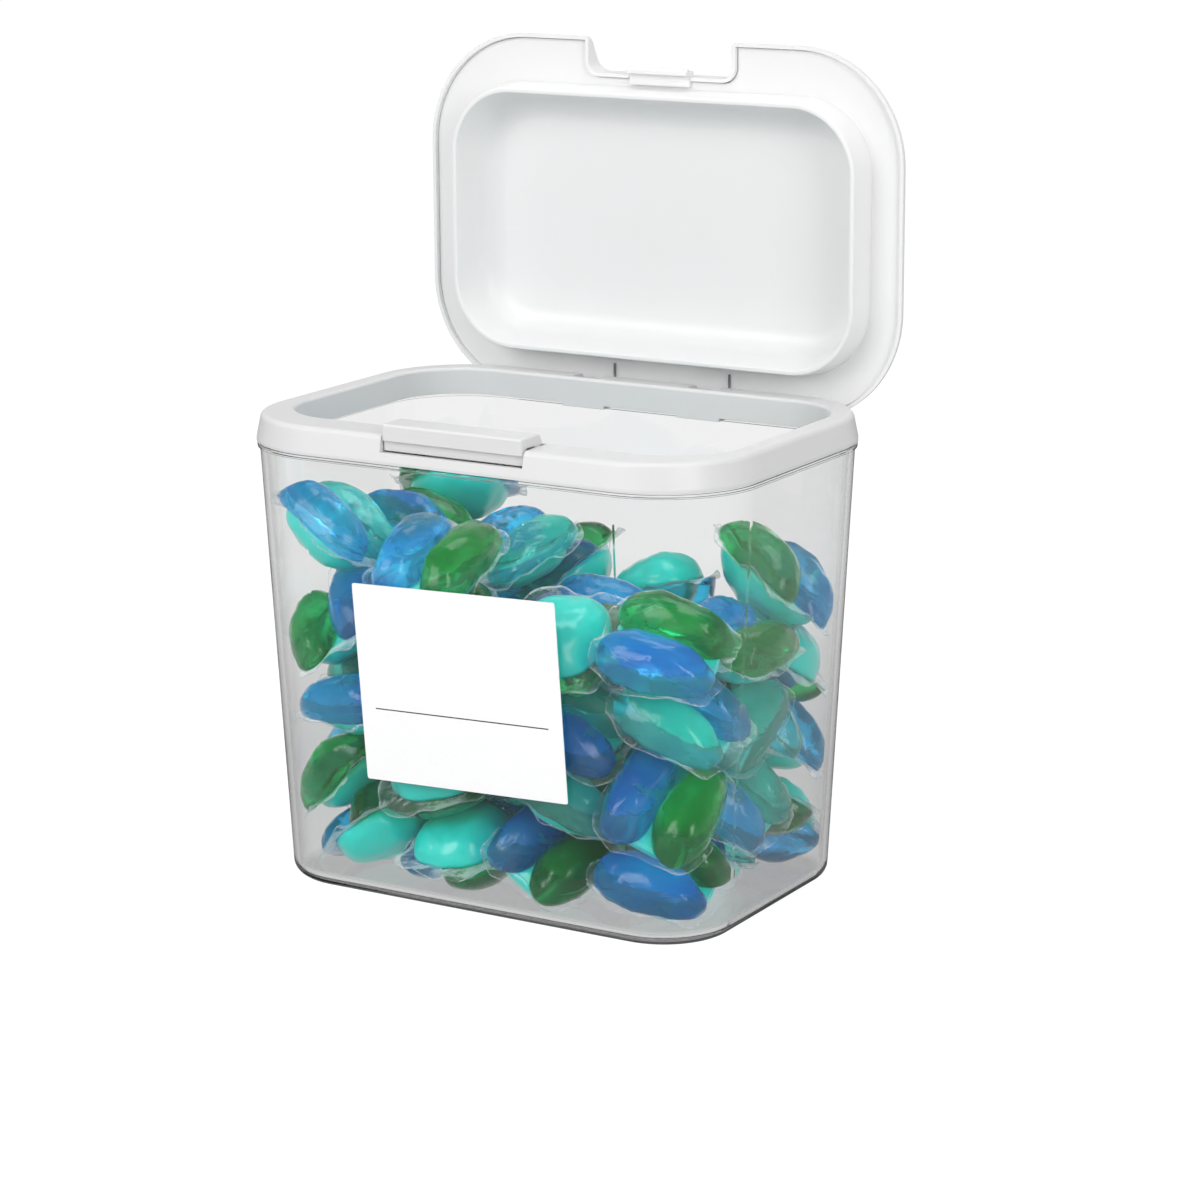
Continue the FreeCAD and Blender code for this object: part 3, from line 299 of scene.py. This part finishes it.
# One closed puffed chamber on the film's plane, creased towards its seam.
def addChamber(points, faces, slots, shape, slot, randomizer):
    first = len(points)
    around, rings = pod["around"], pod["rings"]
    way = shape["way"]
    phase = [randomizer.uniform(0, math.tau) for _ in range(3)]
    lean = randomizer.uniform(-0.07, 0.07)
    points.append((0, shape["offset"], way * (shape["height"] + 0.3)))
    for ring in range(1, rings + 1):
        part = math.sin(ring / rings * math.pi / 2)
        for step in range(around):
            angle = step / around * math.tau
            x, y = squircle(angle, shape["length"] / 2, shape["width"] / 2, 2.5)
            rise = max(0.0, 1 - part ** 2.3) ** 0.55
            crease = (math.sin(9 * angle + phase[0]) + 0.7 * math.sin(14 * angle + phase[1])
                      + 0.5 * math.sin(23 * angle + phase[2]))
            fold = 1 + 0.05 * crease * part ** 3 * rise
            z = shape["height"] * rise * fold * (1 + lean * x / shape["length"] * 2)
            points.append((x * part, y * part + shape["offset"], way * (z + 0.3)))
    points.append((0, shape["offset"], way * 0.3))
    last = len(points) - 1
    for step in range(around):
        following = (step + 1) % around
        cap = [first, first + 1 + step, first + 1 + following]
        base = first + 1 + (rings - 1) * around
        foot = [last, base + following, base + step]
        faces.append(cap if way > 0 else cap[::-1])
        faces.append(foot if way > 0 else foot[::-1])
        slots.extend((slot, slot))
        for ring in range(rings - 1):
            inner = first + 1 + ring * around
            outer = inner + around
            side = [inner + step, outer + step, outer + following, inner + following]
            faces.append(side if way > 0 else side[::-1])
            slots.append(slot)


# The sealed film edge round the chambers, thin, wavy and closed.
def addFlange(points, faces, slots, slot, randomizer):
    first = len(points)
    around, rings = 72, 6
    phase = [randomizer.uniform(0, math.tau) for _ in range(4)]
    for side in (1, -1):
        for ring in range(rings + 1):
            part = ring / rings
            for step in range(around):
                angle = step / around * math.tau
                inX, inY = squircle(angle, 17.5, 15.5, 2.4)
                outX, outY = squircle(angle, pod["length"] / 2, pod["width"] / 2, 4.2)
                ragged = 1 + 0.016 * math.sin(7 * angle + phase[2])
                x = inX + (outX * ragged - inX) * part
                y = inY + (outY * ragged - inY) * part
                wave = (math.sin(5 * angle + phase[0]) * 1.3
                        + math.sin(11 * angle + phase[1]) * 0.7
                        + math.sin(19 * angle + phase[3]) * 0.35)
                z = wave * max(0.0, part - 0.35) ** 1.3 * 1.6
                points.append((x, y, z + side * pod["film"] / 2))
    layer = around * (rings + 1)
    for step in range(around):
        following = (step + 1) % around
        for ring in range(rings):
            inner = first + ring * around
            outer = inner + around
            top = [inner + step, outer + step, outer + following, inner + following]
            faces.append(top)
            faces.append([index + layer for index in top[::-1]])
            slots.extend((slot, slot))
        rim = first + rings * around
        hole = first
        faces.append([rim + step, rim + step + layer, rim + following + layer,
                      rim + following])
        faces.append([hole + following, hole + following + layer, hole + step + layer,
                      hole + step])
        slots.extend((slot, slot))


# A pod about its middle in millimetres: points, faces and material slots.
def podTemplate(seed):
    randomizer = random.Random(seed)
    points, faces, slots = [], [], []
    lobe = {"way": 1, "length": pod["lobeLength"], "width": pod["lobeWidth"],
            "height": pod["lobeHeight"]}
    addChamber(points, faces, slots, {**lobe, "offset": pod["lobeOffset"]}, 0, randomizer)
    addChamber(points, faces, slots, {**lobe, "offset": -pod["lobeOffset"]}, 1, randomizer)
    addChamber(points, faces, slots, {
        "way": -1, "length": pod["domeLength"], "width": pod["domeWidth"],
        "height": pod["domeHeight"], "offset": 0.0}, 2, randomizer)
    addFlange(points, faces, slots, 3, randomizer)
    spots = np.array(points)
    for index, spot in enumerate(points):
        soft = noise.noise_vector(Vector(spot) * 0.07 + Vector((seed * 9.1, 0, 0)))
        fine = noise.noise_vector(Vector(spot) * 0.22 + Vector((0, seed * 5.3, 0)))
        spots[index] += np.array(soft) * 1.5 + np.array(fine) * 0.45
    return spots, faces, slots


# The connected pieces of a mesh, as arrays of triangles of corner points.
def islands(mesh):
    mesh.calc_loop_triangles()
    corners = np.array([vertex.co[:] for vertex in mesh.vertices])
    keys = {}
    same = [keys.setdefault(tuple(np.round(spot / (0.002 * mm)).astype(int)), index)
            for index, spot in enumerate(corners)]
    parent = list(range(len(corners)))

    def find(index):
        while parent[index] != index:
            parent[index] = parent[parent[index]]
            index = parent[index]
        return index

    triangles = [[same[index] for index in triangle.vertices]
                 for triangle in mesh.loop_triangles]
    for a, b, c in triangles:
        parent[find(a)] = find(b)
        parent[find(b)] = find(c)
    groups = {}
    for triangle in triangles:
        groups.setdefault(find(triangle[0]), []).append(triangle)
    return [corners[np.array(group)] for group in groups.values()]


# Middle, axes and size of a solid pod, from its volume's moments.
def podPose(triangles):
    origin = triangles.reshape(-1, 3).mean(axis=0)
    local = triangles - origin
    volumes = np.einsum("ij,ij->i", local[:, 0], np.cross(local[:, 1], local[:, 2])) / 6
    total = volumes.sum()
    centroid = (volumes[:, None] * local.sum(axis=1) / 4).sum(axis=0) / total
    local = local - centroid
    volumes = np.einsum("ij,ij->i", local[:, 0], np.cross(local[:, 1], local[:, 2])) / 6
    sums = local.sum(axis=1)
    second = np.einsum("i,ij,ik->jk", volumes, sums, sums)
    for corner in range(3):
        second += np.einsum("i,ij,ik->jk", volumes, local[:, corner], local[:, corner])
    _, axes = np.linalg.eigh(second / 20 / total)
    up, along, across = axes[:, 0], axes[:, 1], axes[:, 2]
    middles = sums / 4
    bias = (volumes * (middles @ up) * (middles @ across) ** 2).sum()
    if bias < 0:
        up = -up
    across = np.cross(up, along)
    spread = local.reshape(-1, 3) @ along
    scale = (spread.max() - spread.min()) / (pod["solidLength"] * mm)
    lift = (local.reshape(-1, 3) @ up).max() - 13 * mm * scale
    return origin + centroid + up * lift, np.array([along, across, up]), scale


tubInside = {"footX": 87.5 - 2.15, "footY": 58.5 - 2.15, "footR": 26 - 2.15,
             "lean": 8.4 / 157.3, "floor": 2.95}


# Flattens pod points, in millimetres, against the tub's walls and floor.
def keepInside(spots):
    spots[:, 2] = np.maximum(spots[:, 2], tubInside["floor"])
    out = spots[:, 2] * tubInside["lean"]
    radius = tubInside["footR"] + out
    coreX = tubInside["footX"] + out - radius
    coreY = tubInside["footY"] + out - radius
    overX = np.maximum(np.abs(spots[:, 0]) - coreX, 0)
    overY = np.maximum(np.abs(spots[:, 1]) - coreY, 0)
    reach = np.maximum(np.hypot(overX, overY), 1e-6)
    shrink = np.minimum(1, radius / reach)
    spots[:, 0] = np.sign(spots[:, 0]) * (np.minimum(np.abs(spots[:, 0]), coreX) + overX * shrink)
    spots[:, 1] = np.sign(spots[:, 1]) * (np.minimum(np.abs(spots[:, 1]), coreY) + overY * shrink)
    return spots


randomPods = random.Random(pod["seed"])
templates = [podTemplate(number + 1) for number in range(pod["variants"])]
lobeColours = (("green", "blue"), ("blue", "green"), ("aqua", "green"), ("blue", "aqua"))


# Film-wrapped pods in place of the CAD solids of one node.
def makePods(name, node):
    allSpots, allFaces, allSlots = [], [], []
    pair = randomPods.choices(lobeColours, weights=(3, 3, 2, 2))[0]
    count = 0
    for triangles in islands(cadNodes[node].data):
        spots, faces, slots = templates[randomPods.randrange(pod["variants"])]
        middle, axes, scale = podPose(triangles)
        if randomPods.random() < 0.5:
            axes = np.array([-axes[0], -axes[1], axes[2]])
        placed = (spots * scale) @ axes + middle / mm
        placed = keepInside(placed)
        allSpots.append(placed * mm)
        allFaces.extend([[index + count for index in face] for face in faces])
        allSlots.extend(slots)
        count += len(spots)
    mesh = bpy.data.meshes.new(name)
    mesh.from_pydata(np.vstack(allSpots).tolist(), [], allFaces)
    for finish in (*pair, "turquoise", "film"):
        mesh.materials.append(finishes[finish])
    mesh.polygons.foreach_set("material_index", allSlots)
    mesh.polygons.foreach_set("use_smooth", [True] * len(allSlots))
    mesh.update()
    piece = bpy.data.objects.new(name, mesh)
    bpy.context.collection.objects.link(piece)
    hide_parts(node)
    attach(piece, "tub")
    return piece


podNodes = sorted(name for name in cadNodes if name.startswith("pod"))
for node in podNodes:
    makePods(node.replace("pod", "film_pod", 1), node)
print("pods done", len(podNodes))


spring = {
    "wire": 0.8, "radius": 1.7, "turns": 4.25, "pitch": 0.944, "start": 0.35,
    "spread": 24.0, "axisY": 64.2, "axisZ": 160.6, "slotY": 60.3, "top": 166.9,
    "flangeY": 73.1, "lidEnd": 171.5,
}


# Centre line of one hinge spring, in millimetres.
def wirePath(middleX):
    startX = middleX + spring["start"]
    endX = startX + spring["pitch"] * spring["turns"]
    under = spring["axisZ"] - spring["radius"]
    path = [(startX - 3.0, spring["slotY"], spring["top"]),
            (startX - 0.7, spring["slotY"], spring["top"]),
            (startX, spring["slotY"], spring["top"] - 0.7),
            (startX, spring["slotY"], under + 0.7),
            (startX, spring["slotY"] + 0.7, under)]
    steps = 120
    for step in range(steps + 1):
        turn = step / steps * spring["turns"] * math.tau
        path.append((startX + spring["pitch"] * turn / math.tau,
                     spring["axisY"] + spring["radius"] * math.sin(turn),
                     spring["axisZ"] - spring["radius"] * math.cos(turn)))
    behind = spring["axisY"] + spring["radius"]
    path += [(endX, behind, spring["axisZ"] + 1.4),
             (endX, behind + 0.6, spring["axisZ"] + 2.4),
             (endX, spring["flangeY"] - 0.8, spring["axisZ"] + 3.4),
             (endX, spring["flangeY"], spring["axisZ"] + 4.6),
             (endX, spring["flangeY"], spring["lidEnd"])]
    return path, startX, endX


# A closed round wire along a path.
def makeWire(name, path, radius, finish):
    curve = bpy.data.curves.new(name, "CURVE")
    curve.dimensions = "3D"
    curve.bevel_depth = radius * mm
    curve.bevel_resolution = 4
    curve.use_fill_caps = True
    line = curve.splines.new("POLY")
    line.points.add(len(path) - 1)
    for point, spot in zip(line.points, path):
        point.co = (*[value * mm for value in spot], 1)
    bent = bpy.data.objects.new(name + "_line", curve)
    bpy.context.collection.objects.link(bent)
    mesh = bpy.data.meshes.new_from_object(bent)
    bpy.data.objects.remove(bent)
    mesh.name = name
    mesh.materials.clear()
    mesh.materials.append(finish)
    mesh.polygons.foreach_set("use_smooth", [True] * len(mesh.polygons))
    piece = bpy.data.objects.new(name, mesh)
    bpy.context.collection.objects.link(piece)
    return piece


for side, sign in (("left", -1), ("right", 1)):
    path, startX, endX = wirePath(sign * spring["spread"])
    piece = makeWire(f"wire_hinge_spring_{side}", path, spring["wire"] / 2, finishes["wire"])
    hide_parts(f"hinge_spring_{side}")
    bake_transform(piece)
# The latch's return springs.
latchSpring = {"wire": 0.5, "radius": 1.5, "turns": 6, "x": 16.0, "y": -62.25, "floor": 159.4,
               "top": 168.3}


def coilPath(middleX):
    low = latchSpring["floor"] + latchSpring["wire"] / 2
    rise = latchSpring["top"] - latchSpring["wire"] / 2 - low
    path = []
    steps = 180
    for step in range(steps + 1):
        turn = step / steps * latchSpring["turns"] * math.tau
        path.append((middleX + latchSpring["radius"] * math.cos(turn),
                     latchSpring["y"] + latchSpring["radius"] * math.sin(turn),
                     low + rise * step / steps))
    return path


for side, sign in (("left", -1), ("right", 1)):
    middleX = sign * latchSpring["x"]
    piece = makeWire(f"wire_latch_spring_{side}", coilPath(middleX), latchSpring["wire"] / 2,
                     finishes["wire"])
    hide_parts(f"latch_spring_{side}")
    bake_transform(piece)
print("springs done")


studio = {"floorSize": 6.0, "floorGlow": 0.9, "worldLight": 0.52}


def makeFloor():
    bpy.ops.object.select_all(action="DESELECT")
    bpy.ops.mesh.primitive_plane_add(size=2 * studio["floorSize"], location=(0, 0, 0))
    floor = bpy.context.object
    floor.name = "studio_floor"
    material, tree = newMaterial("white_studio_floor")
    path = addNode(tree, "ShaderNodeLightPath")
    away = addNode(tree, "ShaderNodeVectorMath", {0: place(tree)}, operation="LENGTH")
    # painted shade: behind clear plastic the floor glows dimmer near the tub's middle, 0.66
    # within 0.2 m rising to the full glow beyond 0.5 m
    reach = addNode(tree, "ShaderNodeMapRange", {
        "Value": away.outputs["Value"], "From Min": 0.2, "From Max": 0.5,
        "To Min": 0.66, "To Max": studio["floorGlow"]})
    plain = addNode(tree, "ShaderNodeBsdfDiffuse", {"Color": (0.68, 0.68, 0.68, 1)})
    faint = addNode(tree, "ShaderNodeBsdfDiffuse", {"Color": (0.2, 0.2, 0.2, 1)})
    through = addNode(tree, "ShaderNodeEmission", {"Strength": reach.outputs["Result"]})
    glow = addNode(tree, "ShaderNodeEmission", {"Strength": studio["floorGlow"]})
    bright = addNode(tree, "ShaderNodeAddShader", {0: faint.outputs[0], 1: glow.outputs[0]})
    unseen = addNode(tree, "ShaderNodeMixShader", {0: path.outputs["Is Glossy Ray"],
                                                   1: plain.outputs[0], 2: faint.outputs[0]})
    behind = addNode(tree, "ShaderNodeMixShader", {0: path.outputs["Is Transmission Ray"],
                                                   1: unseen.outputs[0], 2: through.outputs[0]})
    mixed = addNode(tree, "ShaderNodeMixShader", {0: path.outputs["Is Camera Ray"],
                                                  1: behind.outputs[0], 2: bright.outputs[0]})
    surface(tree, mixed.outputs[0])
    floor.data.materials.append(material)


# White for the camera and at the horizon behind clear plastic, dimmer overhead
# so that reflections don't veil the pods, and a plain level for lighting
def makeWorld():
    world = bpy.data.worlds.new("studio")
    bpy.context.scene.world = world
    world.use_nodes = True
    tree = world.node_tree
    tree.nodes.clear()
    path = addNode(tree, "ShaderNodeLightPath")
    heading = addNode(tree, "ShaderNodeTexCoord")
    parts = addNode(tree, "ShaderNodeSeparateXYZ", {"Vector": heading.outputs["Generated"]})
    fade = addNode(tree, "ShaderNodeMapRange", {"Value": parts.outputs["Z"], "From Min": 0.06,
                                                "From Max": 0.3, "To Min": 1.0, "To Max": 0.25})
    behind = addNode(tree, "ShaderNodeBackground", {"Color": (1, 1, 1, 1),
                                                    "Strength": fade.outputs["Result"]})
    light = addNode(tree, "ShaderNodeBackground", {"Color": (1, 1, 1, 1),
                                                   "Strength": studio["worldLight"]})
    white = addNode(tree, "ShaderNodeBackground", {"Color": (1, 1, 1, 1), "Strength": 1.0})
    unseen = addNode(tree, "ShaderNodeMixShader", {0: path.outputs["Is Transmission Ray"],
                                                   1: light.outputs[0], 2: behind.outputs[0]})
    mixed = addNode(tree, "ShaderNodeMixShader", {0: path.outputs["Is Camera Ray"],
                                                  1: unseen.outputs[0], 2: white.outputs[0]})
    addNode(tree, "ShaderNodeOutputWorld", {"Surface": mixed.outputs[0]})


def makeLamp(name, spot, target, size, power):
    aim = (Vector(target) - Vector(spot)).to_track_quat("-Z", "Y").to_euler()
    bpy.ops.object.light_add(type="AREA", location=spot, rotation=aim)
    lamp = bpy.context.object
    lamp.name = name
    lamp.data.shape = "RECTANGLE"
    lamp.data.size, lamp.data.size_y = size
    lamp.data.energy = power


makeFloor()
makeWorld()
makeLamp("key_softbox", (-0.7, -1.8, 1.15), (0, 0, 0.14), (1.3, 1.2), 20.0)
makeLamp("fill_softbox", (1.5, -0.9, 0.8), (0, 0, 0.12), (0.7, 1.1), 11.0)
makeLamp("top_softbox", (0.1, 0.1, 1.7), (0, 0, 0), (1.0, 1.0), 8.0)

view = {"azimuth": 30.83, "elevation": 13.85, "roll": -0.29, "distance": 1.26348,
        "target": (0.01271, 0.00752, 0.09979), "focal": 3581.6 / 1200 * 36}


def makeCamera():
    data = bpy.data.cameras.new("studio_camera")
    data.lens = view["focal"]
    data.sensor_width = 36
    data.clip_start = 0.05
    camera = bpy.data.objects.new("studio_camera", data)
    a, e, r = (math.radians(view[name]) for name in ("azimuth", "elevation", "roll"))
    back = Vector((math.sin(a) * math.cos(e), -math.cos(a) * math.cos(e), math.sin(e)))
    camera.location = Vector(view["target"]) + back * view["distance"]
    turned = (-back).to_track_quat("-Z", "Y").to_matrix().to_4x4()
    camera.matrix_world = (Matrix.Translation(camera.location) @ turned
                           @ Matrix.Rotation(r, 4, "Z"))
    bpy.context.collection.objects.link(camera)
    bpy.context.scene.camera = camera


makeCamera()
bpy.context.scene.view_settings.view_transform = "Standard"
print("studio done")
